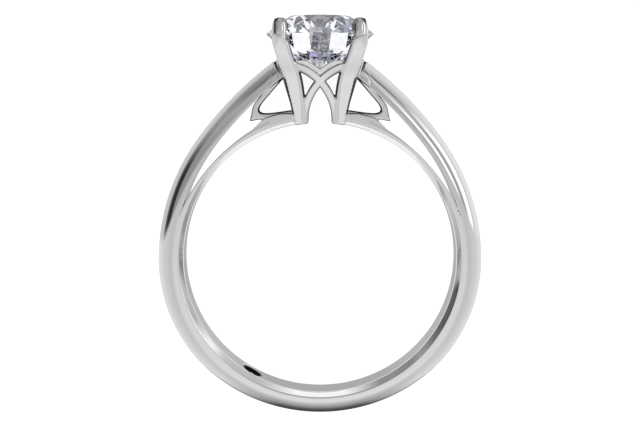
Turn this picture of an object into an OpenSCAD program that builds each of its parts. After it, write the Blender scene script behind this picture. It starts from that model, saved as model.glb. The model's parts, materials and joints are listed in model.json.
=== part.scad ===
// Cathedral solitaire ring: a cast and soldered mounting with its round brilliant.
// The ring lies on its side, as it comes to rest on a table, with the stone towards +Y.
// Millimetres. The origin is the middle of the finger hole.
// Modules are drawn with the finger hole along Z, and lie() then tips the ring to its rest.

/* [Finger hole and shank] */
// Inner diameter of the finger hole
hole_d = 16.6; // [16:0.1:17]
// Half the width of the straight band inside the shank
band_half = 0.75; // [0.6:0.05:0.9]
// Depth of the bevel at each edge of that band
edge_rise = 0.3; // [0.2:0.05:0.35]
// Width of the shank along the finger
shank_w = 2.2; // [2:0.05:2.4]
// Thickness of the shank at its two sides
side_t = 1.62; // [1.5:0.02:1.7]
// Radius of the shank's outline at its sides
side_r = 9.35; // [9.2:0.05:9.5]
// How far the shank's widest level is below the middle of the hole
shank_drop = 0.26; // [0.2:0.02:0.3]

/* [Shoulders] */
// Thickness of a shoulder bar
shoulder_t = 1.1; // [1:0.05:1.2]
// Radius of the shoulder's outline above the shank
shoulder_low_r = 12.7; // [12.4:0.1:13]
// Radius of the shoulder's outline near the stone
shoulder_high_r = 22.5; // [21:0.5:24]
// Least thickness of the rail below a shoulder
rail_t = 0.44; // [0.4:0.02:0.5]
// Thickness of the side frame along the finger
frame_w = 1.3; // [1:0.1:1.6]

/* [Setting] */
// Thickness of the gallery wall
wall_t = 0.62; // [0.5:0.02:0.7]
// Width of a gallery arch, seen from the front
arch_w = 0.48; // [0.4:0.02:0.56]
// Radius of a gallery arch along its middle
arch_r = 3.35; // [3.3:0.05:3.4]
// Clearance between the stone and its seat
seat_gap = 0.04; // [0.02:0.01:0.06]

/* [Stone] */
// Diameter of the stone
stone_d = 6.4; // [6.3:0.05:6.5]
// Width of the table as a share of the diameter
table_ratio = 0.55; // [0.53:0.01:0.6]
// Angle of the crown's main facets
crown_angle = 35; // [33:0.5:36]
// Angle of the pavilion's main facets
pavilion_angle = 40.8; // [40:0.2:42]
// Thickness of the girdle at its thinnest
girdle_t = 0.1; // [0.06:0.02:0.16]
// Height of the girdle's middle above the finger hole's edge
girdle_rise = 5.26; // [5.2:0.02:5.3]

/* [Hidden] */
$fn = 96;

hole_r = hole_d / 2;
half_w = shank_w / 2;
stone_r = stone_d / 2;
stone_y = hole_r + girdle_rise;

// Sizes larger than the outlines that they trim, and than the ring's width
far = 20;
past_w = 8;

// Outline of the shank: an arc on each side and a flatter one below, tangent where they face this way
low_turn = [0.6, -0.8];
side_c = [hole_r + side_t - side_r, -shank_drop];
bottom_r = side_r + side_c[0] / low_turn[0];
bottom_c = side_c - (bottom_r - side_r) * low_turn;
low_end = bottom_c + far * low_turn;

// Where a shoulder's bar ends inside the setting, out from the stone's axis
shoulder_end = 1;

// Outline of a shoulder: two arcs, each tangent to the one before it.
// The first begins at the shank's widest level, and the second where the outline faces this way.
turn = [0.8, 0.6];
low_c = side_c + [side_r - shoulder_low_r, 0];
high_c = low_c + (shoulder_low_r - shoulder_high_r) * turn;
turn_end = low_c + far * turn;

// Top of the rail: an arc flatter than the finger hole's, closest to it half way up
rail_r = 11;
rail_angle = 44;
rail_c = (hole_r + rail_t - rail_r) * unit(rail_angle);
// Height where the rail leaves the shank
split_y = 2.3;

// Edge of a prong, seen from the front:
// [height above the hole's edge, inset from the stone's radius, width]
prong_rows = [
    [-0.30, 1.88, 0.66],
    [ 1.45, 1.41, 0.90],
    [ 2.95, 0.91, 1.02],
    [ 3.75, 0.62, 1.00],
    [ 4.30, 0.46, 0.94],
    [ 5.68, 0.44, 0.92]
];
claw_row = prong_rows[len(prong_rows) - 1];
claw_x = stone_r - claw_row[1];
claw_w = claw_row[2];

// Centre of a gallery arch, out from the stone's axis, its height and the height where the arches end
arch_x = 2.41;
arch_rise = 0.15;
arch_top = 3.7;

// Side frame, seen from the front: [out from the stone's axis, height above the hole's edge]
frame_outline = [
    [1.20, 0.20], [1.55, 2.80], [2.30, 3.30], [2.84, 2.48], [3.55, 1.59],
    [4.00, 1.06], [4.09, 0.64], [4.21, 0.07], [3.40, 0.25], [3.10, -0.30]
];
frame_opening = [
    [1.72, 0.78], [2.05, 1.72], [2.34, 2.51], [2.90, 1.82],
    [3.49, 1.10], [3.64, 0.76], [3.54, 0.56], [3.20, 0.52]
];
rail_flare = [
    [1.20, 0.55], [2.30, 0.55], [2.90, 0.41], [3.37, 0.27], [4.17, -0.49], [3.60, -1.10], [1.20, -0.30]
];

// Plain oval recess inside the shank, beside its bottom
recess_angle = 240;
recess_z = 0.45;
recess_l = 1.1;
recess_w = 0.55;
recess_t = 0.06;

// Facets of the stone, worked out from its angles
table_r = stone_r * table_ratio;
crown_h = (stone_r - table_r) * tan(crown_angle);
star_r = (table_r * cos(22.5) + stone_r) / 2;
star_h = (stone_r - star_r * cos(22.5)) * tan(crown_angle);
crown_slope = star_h / ((stone_r - star_r) * cos(11.25));
pavilion_h = stone_r * tan(pavilion_angle);
lower_r = stone_r * 0.23;
lower_h = (stone_r - lower_r * cos(22.5)) * tan(pavilion_angle);
pavilion_slope = lower_h / ((stone_r - lower_r) * cos(11.25));
rim_over = 0.4;
rim_r = stone_r + rim_over;

// Tilt at which the girdle and the half-round bottom of the shank both touch the table
dome_y = bottom_r - bottom_c[1] - half_w;
lever = stone_y - girdle_t / 2 + dome_y;
lie_tilt = atan2(stone_r, lever) - asin(half_w / norm([stone_r, lever]));

function unit(a) = [cos(a), sin(a)];
function raised(points) = [for (p = points) [p[0], hole_r + p[1]]];
function ring_at(r, h, n, start) = [
    for (i = [0:n - 1]) let (a = start + i * 360 / n) [r * cos(a), h, r * sin(a)]
];

module lie() {
    rotate([lie_tilt, 0, 0]) children();
}

module both_sides() {
    children();
    mirror([1, 0, 0]) children();
}

module through(w) {
    linear_extrude(w, center = true) children();
}

// Bar section with a half-round back at distance r from the axis it is turned about, and flat sides
module bar_section(r, depth) {
    translate([r - half_w, 0]) intersection() {
        circle(half_w);
        translate([max(0, half_w - depth), -half_w]) square([half_w, shank_w]);
    }
    if (depth > half_w) translate([r - depth, -half_w]) square([depth - half_w, shank_w]);
}

// Stretch of a bar turned about c, as far as the outline of the points reaches
module bar_stretch(c, r, depth, points) {
    intersection() {
        translate(c) rotate_extrude() bar_section(r, depth);
        through(past_w) polygon(points);
    }
}

// Lower half of the shank, thick enough for the finger hole to cut its inside
module shank() {
    bar_stretch(bottom_c, bottom_r, shank_w, [bottom_c, low_end, [-low_end[0], low_end[1]]]);
    both_sides() bar_stretch(side_c, side_r, shank_w,
        [side_c, [far, -shank_drop], [far, low_end[1]], low_end]);
}

// Rail on the right, seen from the front
module rail_outline() {
    intersection() {
        translate(rail_c) circle(rail_r);
        translate([rail_flare[0][0], split_y]) square(far);
    }
    polygon(raised(rail_flare));
}

// Long opening between the right shoulder and its rail, seen from the front
module shoulder_gap() {
    difference() {
        translate(low_c) circle(shoulder_low_r - shoulder_t);
        translate(rail_c) circle(rail_r);
        translate([-far, split_y - 2 * far]) square(2 * far);
        translate([-2 * far, -far]) square(2 * far);
    }
}

// Outline of the whole setting from the front, less an inset on each side
module setting_core(inset) {
    half = [for (p = prong_rows) [stone_r - p[1] - inset, hole_r + p[0]]];
    polygon(concat(half, [for (i = [len(half) - 1:-1:0]) [-half[i][0], half[i][1]]]));
}

module shoulder() {
    difference() {
        union() {
            bar_stretch(low_c, shoulder_low_r, shank_w,
                [low_c, [far, -shank_drop], [far, turn_end[1]], turn_end]);
            bar_stretch(high_c, shoulder_high_r, shoulder_t,
                [low_c, turn_end, [shoulder_end, far], [shoulder_end, split_y]]);
        }
        through(past_w) shoulder_gap();
        through(past_w) setting_core(wall_t / 2);
    }
}

module rail() {
    through(shank_w) rail_outline();
}

module side_frame() {
    through(frame_w) difference() {
        polygon(raised(frame_outline));
        polygon(raised(frame_opening));
    }
}

// Two prongs, seen from the front
module prong_pair() {
    outer = [for (p = prong_rows) [stone_r - p[1], hole_r + p[0]]];
    inner = [for (i = [len(prong_rows) - 1:-1:0]) let (p = prong_rows[i])
        [stone_r - p[1] - p[2], hole_r + p[0]]];
    both_sides() {
        polygon(concat(outer, inner));
        translate([claw_x - claw_w / 2, hole_r + claw_row[0]]) circle(claw_w / 2);
    }
}

// Cut of the two gallery walls that face each other
module wall_pair() {
    difference() {
        setting_core(0);
        setting_core(wall_t);
    }
}

// Two crossing arches, seen from the front
module arches() {
    intersection() {
        both_sides() translate([arch_x, hole_r + arch_rise]) difference() {
            circle(arch_r + arch_w / 2);
            circle(arch_r - arch_w / 2);
        }
        setting_core(claw_w / 2);
        translate([-past_w / 2, 0]) square([past_w, hole_r + arch_top]);
    }
}

module gallery_side() {
    intersection() {
        through(past_w) arches();
        rotate([0, 90, 0]) through(past_w) wall_pair();
    }
}

module setting() {
    intersection() {
        through(past_w) prong_pair();
        rotate([0, 90, 0]) through(past_w) prong_pair();
    }
    gallery_side();
    rotate([0, 90, 0]) gallery_side();
}

module finger_hole() {
    cylinder(h = past_w, r = hole_r, center = true);
}

// Bevel at each edge of the finger hole. The cut goes on past both ends of the bevel.
module hole_bevel() {
    slope = [edge_rise, half_w - band_half];
    inner = [hole_r, band_half] - slope;
    outer = inner + 3 * slope;
    for (side = [0, 1]) mirror([0, 0, side]) rotate_extrude()
        polygon([[0, inner[1]], inner, outer, [outer[0], shank_w], [0, shank_w]]);
}

// Slot with round ends, sunk into the inside of the shank
module recess() {
    reach = (recess_l - recess_w) / 2;
    depth = side_t / 2;
    rotate([0, 0, recess_angle]) translate([hole_r + recess_t - depth, 0, recess_z]) rotate([0, 90, 0]) {
        for (end = [-1, 1]) translate([0, end * reach, 0]) cylinder(h = depth, r = recess_w / 2);
        translate([-recess_w / 2, -reach, 0]) cube([recess_w, 2 * reach, depth]);
    }
}

// Solid below a flat table, or a point, and its facets. It goes down in a rim wider than the stone.
module facet_cap(tip, low_r, low_h, slope) {
    count = len(tip);
    rim_h = -rim_over * cos(11.25) * slope;
    points = concat(tip, ring_at(low_r, low_h, 8, 22.5), ring_at(stone_r, 0, 8, 0),
        ring_at(rim_r, rim_h, 16, 0), ring_at(rim_r, -stone_r, 16, 0));
    low = count;
    girdle = low + 8;
    rim = girdle + 8;
    deep = rim + 16;
    flat_top = count == 8;
    table = flat_top ? [[for (i = [0:7]) i]] : [];
    stars = flat_top ? [for (i = [0:7]) [i, low + i, (i + 1) % 8]] : [];
    mains = [for (i = [0:7]) [flat_top ? i : 0, low + (i + 7) % 8, girdle + i, low + i]];
    halves = [for (i = [0:7]) each [
        [low + i, girdle + i, rim + 2 * i, rim + 2 * i + 1],
        [low + i, rim + 2 * i + 1, rim + (2 * i + 2) % 16, girdle + (i + 1) % 8]
    ]];
    sides = [for (i = [0:15]) [rim + i, deep + i, deep + (i + 1) % 16, rim + (i + 1) % 16]];
    base = [[for (i = [15:-1:0]) deep + i]];
    polyhedron(points, concat(table, stars, mains, halves, sides, base));
}

module brilliant() {
    translate([0, stone_y, 0]) intersection() {
        translate([0, girdle_t / 2, 0])
            facet_cap(ring_at(table_r, crown_h, 8, 0), star_r, star_h, crown_slope);
        mirror([0, 1, 0]) translate([0, girdle_t / 2, 0])
            facet_cap([[0, pavilion_h, 0]], lower_r, lower_h, pavilion_slope);
        rotate([90, 0, 0]) cylinder(h = past_w, r = stone_r, center = true);
    }
}

// The seat is the stone grown about the middle of its girdle
module seat() {
    grow = 1 + seat_gap / stone_r;
    translate([0, stone_y, 0]) scale(grow) translate([0, -stone_y, 0]) brilliant();
}

module mounting() {
    color("silver") lie() difference() {
        union() {
            difference() {
                union() {
                    shank();
                    both_sides() shoulder();
                    both_sides() rail();
                    both_sides() side_frame();
                }
                hole_bevel();
            }
            setting();
        }
        finger_hole();
        recess();
        seat();
    }
}

module center_stone() {
    color("lightcyan") lie() brilliant();
}

mounting();
center_stone();
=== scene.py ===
"""Looks of a cathedral solitaire ring that lies on its side.

The classes work in millimetres in the ring's own frame: X to the right, Y from the middle of the finger hole
towards the stone, and Z along the finger, towards the viewer. RingFrame.place tips that frame to the ring's
rest and turns it into metres.
"""

from __future__ import annotations

import json
import logging
from collections.abc import Callable
from dataclasses import dataclass, field
from enum import Enum

import bmesh
import bpy
import numpy as np
from mathutils import Matrix, Vector

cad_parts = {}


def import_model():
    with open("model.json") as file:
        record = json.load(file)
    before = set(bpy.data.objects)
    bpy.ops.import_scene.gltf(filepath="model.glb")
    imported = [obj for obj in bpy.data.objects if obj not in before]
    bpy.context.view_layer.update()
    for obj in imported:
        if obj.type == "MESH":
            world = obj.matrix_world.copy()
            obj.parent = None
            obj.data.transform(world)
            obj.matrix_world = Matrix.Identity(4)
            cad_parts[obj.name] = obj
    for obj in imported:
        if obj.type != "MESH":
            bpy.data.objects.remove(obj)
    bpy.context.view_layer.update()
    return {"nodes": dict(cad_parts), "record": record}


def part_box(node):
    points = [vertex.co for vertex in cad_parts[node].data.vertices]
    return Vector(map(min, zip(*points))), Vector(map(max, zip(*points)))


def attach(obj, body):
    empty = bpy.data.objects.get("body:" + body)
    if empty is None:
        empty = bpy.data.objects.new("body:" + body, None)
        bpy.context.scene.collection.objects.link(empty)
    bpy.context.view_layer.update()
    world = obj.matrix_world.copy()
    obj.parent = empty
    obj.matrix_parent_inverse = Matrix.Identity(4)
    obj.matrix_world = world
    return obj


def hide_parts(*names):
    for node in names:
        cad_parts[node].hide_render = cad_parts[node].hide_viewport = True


LOG = logging.getLogger("ring")
MM = 0.001
# Keeps a division from zero.
TINY = 1e-20
# How often a ray of light may be reflected or bent.
LIGHT_STEPS = 16


class Finish(Enum):
    """Material slots of the record."""

    PLATINUM = "platinum"
    DIAMOND = "diamond"


@dataclass(frozen=True)
class RingFrame:
    """The ring's own frame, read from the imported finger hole.

    Attributes:
        hole_r: Radius of the finger hole in millimetres.
        tilt: Angle in radians by which the hole's axis leans from upright.
    """

    hole_r: float
    tilt: float

    @classmethod
    def from_record(cls, record: dict) -> RingFrame:
        """Read the finger hole.

        Args:
            record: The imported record.

        Returns:
            The frame of the ring.
        """
        bore = next(mount for mount in record["mounts"] if mount["name"] == "finger_hole")
        axis = bore["axis"]
        return cls(hole_r=bore["dims"]["r_mm"], tilt=float(np.arctan2(-axis[1], axis[2])))

    def place(self, points: np.ndarray) -> np.ndarray:
        """Turn points of the ring's frame about X by the tilt, and into metres.

        Args:
            points: Array whose last axis holds x, y and z in millimetres.

        Returns:
            The points in metres, as the ring lies.
        """
        cos, sin = np.cos(self.tilt), np.sin(self.tilt)
        x, y, z = np.moveaxis(np.asarray(points, float), -1, 0)
        return MM * np.stack([x, y * cos - z * sin, y * sin + z * cos], axis=-1)


def unit(angle: np.ndarray | float) -> np.ndarray:
    """Unit vector (cos a, sin a) of an angle in radians, on a new last axis."""
    return np.stack([np.cos(angle), np.sin(angle)], axis=-1)


def spread(half: float, hold: float, count: int) -> np.ndarray:
    """Even lines from -half to half, with one more line close to each end.

    Args:
        half: Half the width.
        hold: Distance of the close line from the end.
        count: Number of lines between the close ones.

    Returns:
        The places of the lines, in order.
    """
    return np.concatenate([[-half], np.linspace(hold - half, half - hold, count), [half]])


def circle_crossing(first: tuple, second: tuple) -> np.ndarray:
    """Crossing of two circles that lies furthest to the right.

    With L the distance of the centres, the crossing is a = (r0^2 - r1^2 + L^2) / 2L along the line of centres
    and sqrt(r0^2 - a^2) to its side.

    Args:
        first: Centre and radius of a circle.
        second: Centre and radius of the other circle.

    Returns:
        The point.
    """
    (c0, r0), (c1, r1) = first, second
    gap = np.asarray(c1, float) - c0
    length = np.hypot(*gap)
    along = (r0**2 - r1**2 + length**2) / (2 * length)
    off = np.sqrt(r0**2 - along**2) * np.array([-gap[1], gap[0]]) / length
    middle = c0 + along * gap / length
    return max(middle + off, middle - off, key=lambda point: point[0])


def mesh_object(name: str, points: np.ndarray, faces: list | np.ndarray) -> bpy.types.Object:
    """Smooth shaded mesh object at the origin, linked to the scene.

    Args:
        name: Name of the piece.
        points: Vertices in metres.
        faces: Vertex numbers of each face.

    Returns:
        The object.
    """
    if isinstance(faces, np.ndarray):
        faces = faces.tolist()
    mesh = bpy.data.meshes.new(name)
    mesh.from_pydata(np.asarray(points).tolist(), [], faces)
    mesh.shade_smooth()
    piece = bpy.data.objects.new(name, mesh)
    bpy.context.scene.collection.objects.link(piece)
    return piece


@dataclass
class Patchwork:
    """Grids of points that are welded into one surface."""

    points: list[np.ndarray] = field(default_factory=list)
    faces: list[np.ndarray] = field(default_factory=list)
    count: int = 0

    def add(self, grid: np.ndarray, outward: np.ndarray) -> None:
        """Add the quads of a grid, turned so that they face outwards.

        The normal of a quad is the cross product of its diagonals.

        Args:
            grid: Points, rows by columns by 3.
            outward: Rough outward vectors, of a shape that broadcasts to the grid's quads.
        """
        rows, cols = grid.shape[:2]
        index = self.count + np.arange(rows * cols).reshape(rows, cols)
        quads = np.stack([index[:-1, :-1], index[1:, :-1], index[1:, 1:], index[:-1, 1:]], axis=-1)
        normal = np.cross(grid[1:, 1:] - grid[:-1, :-1], grid[:-1, 1:] - grid[1:, :-1])
        if np.sum(normal * outward) < 0:
            quads = quads[..., ::-1]
        self.points.append(grid.reshape(-1, 3))
        self.faces.append(quads.reshape(-1, 4))
        self.count += rows * cols

    def weld(self, near: float = 1e-5) -> tuple[np.ndarray, np.ndarray]:
        """Merge points that fall together.

        Args:
            near: Size of the rounding that makes points one, in the unit of the points.

        Returns:
            The points and the quads.
        """
        points = np.concatenate(self.points)
        keys, first, back = np.unique(
            np.round(points / near).astype(np.int64), axis=0, return_index=True, return_inverse=True)
        return points[first], back.reshape(-1)[np.concatenate(self.faces)]


@dataclass
class Outline:
    """Outline of the shank and the shoulders: four arcs on each side, each tangent to the one before.

    Attributes:
        hole_r: Radius of the finger hole.
        side_t: Thickness of the shank at its sides.
        side_r: Radius of the outline at the sides.
        drop: How far the widest level is below the middle of the hole.
        low_turn: Direction where the bottom arc meets the side arc.
        shoulder_low_r: Radius of the shoulder's lower arc.
        shoulder_high_r: Radius of the shoulder's upper arc.
        turn: Direction where the two arcs of a shoulder meet.
        end_x: Where the shoulder ends in the setting, out from the stone's axis.
        half_w: Half the width of the hoop along the finger, and the radius of its round back.
        rail_t: Least thickness of a rail.
        rail_r: Radius of the top of a rail.
        rail_angle: Direction of the rail's least thickness, in degrees.
        rail_end: Where the rail ends in the setting, out from the stone's axis.
        step: Distance between the stations along the outline.
        blend: Where the hoop gives way to the setting, out from the stone's axis: begin and end.
    """

    hole_r: float
    side_t: float = 1.62
    side_r: float = 9.35
    drop: float = 0.26
    low_turn: tuple[float, float] = (0.6, -0.8)
    shoulder_low_r: float = 12.7
    shoulder_high_r: float = 22.5
    turn: tuple[float, float] = (0.8, 0.6)
    end_x: float = 2.84
    half_w: float = 1.1
    rail_t: float = 0.44
    rail_r: float = 11.0
    rail_angle: float = 44.0
    rail_end: float = 2.0
    step: float = 0.12
    blend: tuple[float, float] = (3.08, 2.86)

    def __post_init__(self) -> None:
        """Work out the centres of the arcs and where the rail leaves the shoulder."""
        self.side_c = np.array([self.hole_r + self.side_t - self.side_r, -self.drop])
        self.bottom_r = self.side_r + self.side_c[0] / self.low_turn[0]
        self.bottom_c = self.side_c - (self.bottom_r - self.side_r) * np.array(self.low_turn)
        self.low_c = self.side_c + [self.side_r - self.shoulder_low_r, 0]
        self.high_c = self.low_c + (self.shoulder_low_r - self.shoulder_high_r) * np.array(self.turn)
        self.rail_c = (self.hole_r + self.rail_t - self.rail_r) * unit(np.radians(self.rail_angle))
        self.split = circle_crossing(
            (self.low_c, self.shoulder_low_r - self.half_w), (self.rail_c, self.rail_r))

    def half(self) -> tuple[np.ndarray, np.ndarray, int]:
        """Stations of the right half, from the bottom to the shoulder's end.

        Returns:
            The points of the outline, its outward normals and the number of the station at the split.
        """
        low = np.arctan2(self.low_turn[1], self.low_turn[0])
        part = np.arctan2(*(self.split - self.low_c)[::-1])
        high = np.arctan2(self.turn[1], self.turn[0])
        end = np.arccos((self.end_x - self.high_c[0]) / self.shoulder_high_r)
        arcs = [
            (self.bottom_c, self.bottom_r, -np.pi / 2, low),
            (self.side_c, self.side_r, low, 0.0),
            (self.low_c, self.shoulder_low_r, 0.0, part),
            (self.low_c, self.shoulder_low_r, part, high),
            (self.high_c, self.shoulder_high_r, high, end),
        ]
        points, normals, counts = [], [], []
        for centre, radius, start, stop in arcs:
            number = int(np.ceil(radius * (stop - start) / self.step))
            angles = np.linspace(start, stop, number, endpoint=False)
            points.append(centre + radius * unit(angles))
            normals.append(unit(angles))
            counts.append(number)
        points.append((self.high_c + self.shoulder_high_r * unit(end))[None])
        normals.append(unit(end)[None])
        return np.concatenate(points), np.concatenate(normals), sum(counts[:3])

    def rail_top(self, angles: np.ndarray) -> np.ndarray:
        """Top of the right rail.

        The distance r along a direction u from the hole's middle solves |r u - c| = R, so it is
        u.c + sqrt((u.c)^2 - c.c + R^2).

        Args:
            angles: Directions from the middle of the hole, in radians.

        Returns:
            The points of the top.
        """
        toward = unit(angles) @ self.rail_c
        reach = toward + np.sqrt(toward**2 - self.rail_c @ self.rail_c + self.rail_r**2)
        return reach[:, None] * unit(angles)


@dataclass
class Recess:
    """Plain shallow oval inside the shank.

    Attributes:
        angle: Direction of its middle from the middle of the hole, in degrees.
        along: Half its length.
        across: Half its width.
        rise: Place of its middle along the finger.
        depth: Its depth.
        slope: Squared distance from its middle where its slope begins and ends, as shares of its size.
        wall: How far from the hole's wall a point still belongs to it.
    """

    angle: float = 239.5
    along: float = 0.68
    across: float = 0.58
    rise: float = 0.1
    depth: float = 0.05
    slope: tuple[float, float] = (1.3, 0.5)
    wall: float = 1.0

    def place(self, points: np.ndarray, hole_r: float) -> np.ndarray:
        """Place of points about the oval: along the hoop, across it and out from the hole's wall.

        Args:
            points: Points in millimetres.
            hole_r: Radius of the finger hole.

        Returns:
            The three distances, with the first two as shares of the oval's half length and half width.
        """
        middle = unit(np.radians(self.angle))
        along = points[..., 1] * middle[0] - points[..., 0] * middle[1]
        facing = points[..., :2] @ middle
        out = np.hypot(points[..., 0], points[..., 1]) - hole_r
        away = np.where(facing > 0, out, hole_r)
        return np.stack([along / self.along, (points[..., 2] - self.rise) / self.across, away], axis=-1)

    def sink(self, points: np.ndarray, hole_r: float) -> np.ndarray:
        """Push points of the hole's wall outwards inside the oval.

        The depth is depth * s, with s the smooth step of the squared distance over the slope.

        Args:
            points: Points of the wall.
            hole_r: Radius of the finger hole.

        Returns:
            The moved points.
        """
        place = self.place(points, hole_r)
        inside = ease(place[..., 0]**2 + place[..., 1]**2, *self.slope)
        depth = self.depth * inside * (place[..., 2] < self.wall)
        moved = points.copy()
        moved[..., :2] *= (1 + depth / hole_r)[..., None]
        return moved


@dataclass
class Hoop:
    """Shank, shoulders and rails: one surface of swept grids with softly rounded edges.

    Attributes:
        ring: The ring's frame.
        outline: Its outline.
        recess: The oval inside it.
        band_half: Half the width of the straight wall of the hole.
        edge_rise: How much wider the hole is at the outer edge of its bevel.
        edge_r: Width of the rounding of every edge.
        edge_angle: Least angle between faces that makes an edge, in degrees.
        tuck: How far the ends of the shoulders and rails are drawn in, to vanish in the setting.
        back_lines: Lines round the back: turn of the second from the first in degrees, and number between.
        flat_lines: Lines along the inside of the shoulders and the top of the rails, the same in millimetres.
        band_lines: Lines along the straight wall of the hole, the same.
        bevel_shares: Places of the lines across a bevel.
    """

    ring: RingFrame
    outline: Outline
    recess: Recess = field(default_factory=Recess)
    band_half: float = 0.75
    edge_rise: float = 0.3
    edge_r: float = 0.035
    edge_angle: float = 28.0
    tuck: float = 0.02
    back_lines: tuple[float, int] = (3.0, 45)
    flat_lines: tuple[float, int] = (0.06, 13)
    band_lines: tuple[float, int] = (0.07, 21)
    bevel_shares: tuple = (0.0, 0.15, 0.5, 0.85, 1.0)

    def grids(self) -> Patchwork:
        """Lay out every surface of the hoop.

        Returns:
            The patches. All run from the left end through the bottom to the right end.
        """
        shape = self.outline
        work = Patchwork()
        right, normal, split = shape.half()
        flip = np.array([-1.0, 1.0])
        rim = np.concatenate([right[:0:-1] * flip, right])
        facing = np.concatenate([normal[:0:-1] * flip, normal])
        core = rim - shape.half_w * facing
        middle = len(right) - 1
        first, last = middle - split, middle + split

        angle = np.radians(spread(90, *self.back_lines))[:, None, None]
        back = core + shape.half_w * np.cos(angle) * facing
        height = np.broadcast_to(shape.half_w * np.sin(angle), back[..., :1].shape)
        dome = np.concatenate([back, height], axis=-1)
        work.add(dome, np.concatenate([facing, np.zeros_like(facing[:, :1])], axis=-1)[:-1])

        start = np.arctan2(core[last, 1], core[last, 0])
        stop = np.arccos(shape.rail_end / shape.hole_r)
        rail_angles = np.linspace(start, stop, int((stop - start) * shape.hole_r / shape.step))
        rail = shape.rail_top(rail_angles)
        rail[0] = core[last]
        outer = np.concatenate([rail[:0:-1] * flip, core[first:last + 1], rail[1:]])
        way = outer / np.hypot(outer[:, 0], outer[:, 1])[:, None]
        self.strips(work, outer, way)

        lines = spread(shape.half_w, *self.flat_lines)
        for side in (-1, 1):
            turned = np.array([side, 1.0])
            under = core[last:] * turned
            self.sheet(work, under, lines, -facing[last:-1] * turned)
            top = rail * turned
            self.sheet(work, top, lines, top[:-1])
        return work

    def strips(self, work: Patchwork, outer: np.ndarray, way: np.ndarray) -> None:
        """Side walls, bevels and the straight wall of the hole, as strips along the same stations.

        Args:
            work: Takes the patches.
            outer: Outer edge of the side walls.
            way: Unit vectors from the middle of the hole to those points.
        """
        half_w = self.outline.half_w
        wide = way * (self.ring.hole_r + self.edge_rise)
        narrow = way * self.ring.hole_r
        for side in (-1, 1):
            wall = self.ruled(outer, wide, np.linspace(0, 1, 3), side * half_w, side * half_w)
            work.add(wall, np.array([0, 0, side]))
            shares = np.array(self.bevel_shares)
            bevel = self.ruled(wide, narrow, shares, side * half_w, side * self.band_half)
            work.add(bevel, np.concatenate([-way, np.full_like(way[:, :1], side)], axis=-1)[:-1])
        rows = spread(self.band_half, *self.band_lines)
        flat = np.broadcast_to(narrow, (len(rows),) + narrow.shape)
        height = np.broadcast_to(rows[:, None, None], flat.shape[:2] + (1,))
        band = self.recess.sink(np.concatenate([flat, height], axis=-1), self.ring.hole_r)
        work.add(band, np.concatenate([-way, np.zeros_like(way[:, :1])], axis=-1)[:-1])

    @staticmethod
    def ruled(
        near: np.ndarray, far: np.ndarray, shares: np.ndarray, low: float, high: float,
    ) -> np.ndarray:
        """Surface of straight lines p = near + s (far - near), z = low + s (high - low).

        Args:
            near: Points of the first edge.
            far: Points of the second edge.
            shares: The values of s.
            low: Height of the first edge.
            high: Height of the second edge.

        Returns:
            The grid.
        """
        share = shares[:, None, None]
        flat = near + share * (far - near)
        height = np.broadcast_to(low + share * (high - low), flat[..., :1].shape)
        return np.concatenate([flat, height], axis=-1)

    @staticmethod
    def sheet(work: Patchwork, edge: np.ndarray, lines: np.ndarray, outward: np.ndarray) -> None:
        """Surface (x, y, z) whose x and y follow a curve while z runs through the lines.

        Args:
            work: Takes the patch.
            edge: The curve.
            lines: The heights.
            outward: Outward vectors along the curve.
        """
        flat = np.broadcast_to(edge, (len(lines),) + edge.shape)
        height = np.broadcast_to(lines[:, None, None], flat.shape[:2] + (1,))
        work.add(np.concatenate([flat, height], axis=-1),
                 np.concatenate([outward, np.zeros_like(outward[:, :1])], axis=-1))

    def build(self) -> bpy.types.Object:
        """Weld the patches, close the four ends and round the edges.

        Returns:
            The hoop.
        """
        points, faces = self.grids().weld()
        work = bmesh.new()
        corners = [work.verts.new(point) for point in points.tolist()]
        for face in faces.tolist():
            work.faces.new([corners[number] for number in face])
        bmesh.ops.holes_fill(work, edges=[edge for edge in work.edges if edge.is_boundary], sides=0)
        limit = np.radians(self.edge_angle)
        sharp = [edge for edge in work.edges if edge.calc_face_angle(0) > limit]
        bmesh.ops.bevel(work, geom=sharp, offset=self.edge_r, offset_type="OFFSET", segments=2,
                        profile=0.5, affect="EDGES", clamp_overlap=False)
        work.normal_update()
        for corner in work.verts:
            if corner.co.y > 0:
                corner.co -= corner.normal * self.tuck * float(ease(abs(corner.co.x), *self.outline.blend))
        mesh = bpy.data.meshes.new("hoop")
        work.to_mesh(mesh)
        work.free()
        mesh.shade_smooth()
        place = np.zeros(len(mesh.vertices) * 3)
        mesh.vertices.foreach_get("co", place)
        place = place.reshape(-1, 3)
        about = mesh.attributes.new("about_recess", "FLOAT_VECTOR", "POINT")
        about.data.foreach_set("vector", self.recess.place(place, self.ring.hole_r).ravel())
        mesh.vertices.foreach_set("co", self.ring.place(place).ravel())
        mesh.update()
        mesh.normals_split_custom_set_from_vertices(self.flat_normals(mesh).tolist())
        piece = bpy.data.objects.new("hoop", mesh)
        bpy.context.scene.collection.objects.link(piece)
        return piece

    @staticmethod
    def flat_normals(mesh: bpy.types.Mesh) -> np.ndarray:
        """Vertex normals that keep broad faces flat: the sum of the face normals times the face areas.

        Args:
            mesh: The mesh.

        Returns:
            The unit normals.
        """
        count = len(mesh.polygons)
        normal, area, sides = np.zeros(count * 3), np.zeros(count), np.zeros(count, np.int32)
        mesh.polygons.foreach_get("normal", normal)
        mesh.polygons.foreach_get("area", area)
        mesh.polygons.foreach_get("loop_total", sides)
        corner = np.zeros(len(mesh.loops), np.int32)
        mesh.loops.foreach_get("vertex_index", corner)
        total = np.zeros((len(mesh.vertices), 3))
        np.add.at(total, corner, np.repeat(normal.reshape(-1, 3) * area[:, None], sides, axis=0))
        return total / np.maximum(np.linalg.norm(total, axis=-1), TINY)[:, None]


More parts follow.
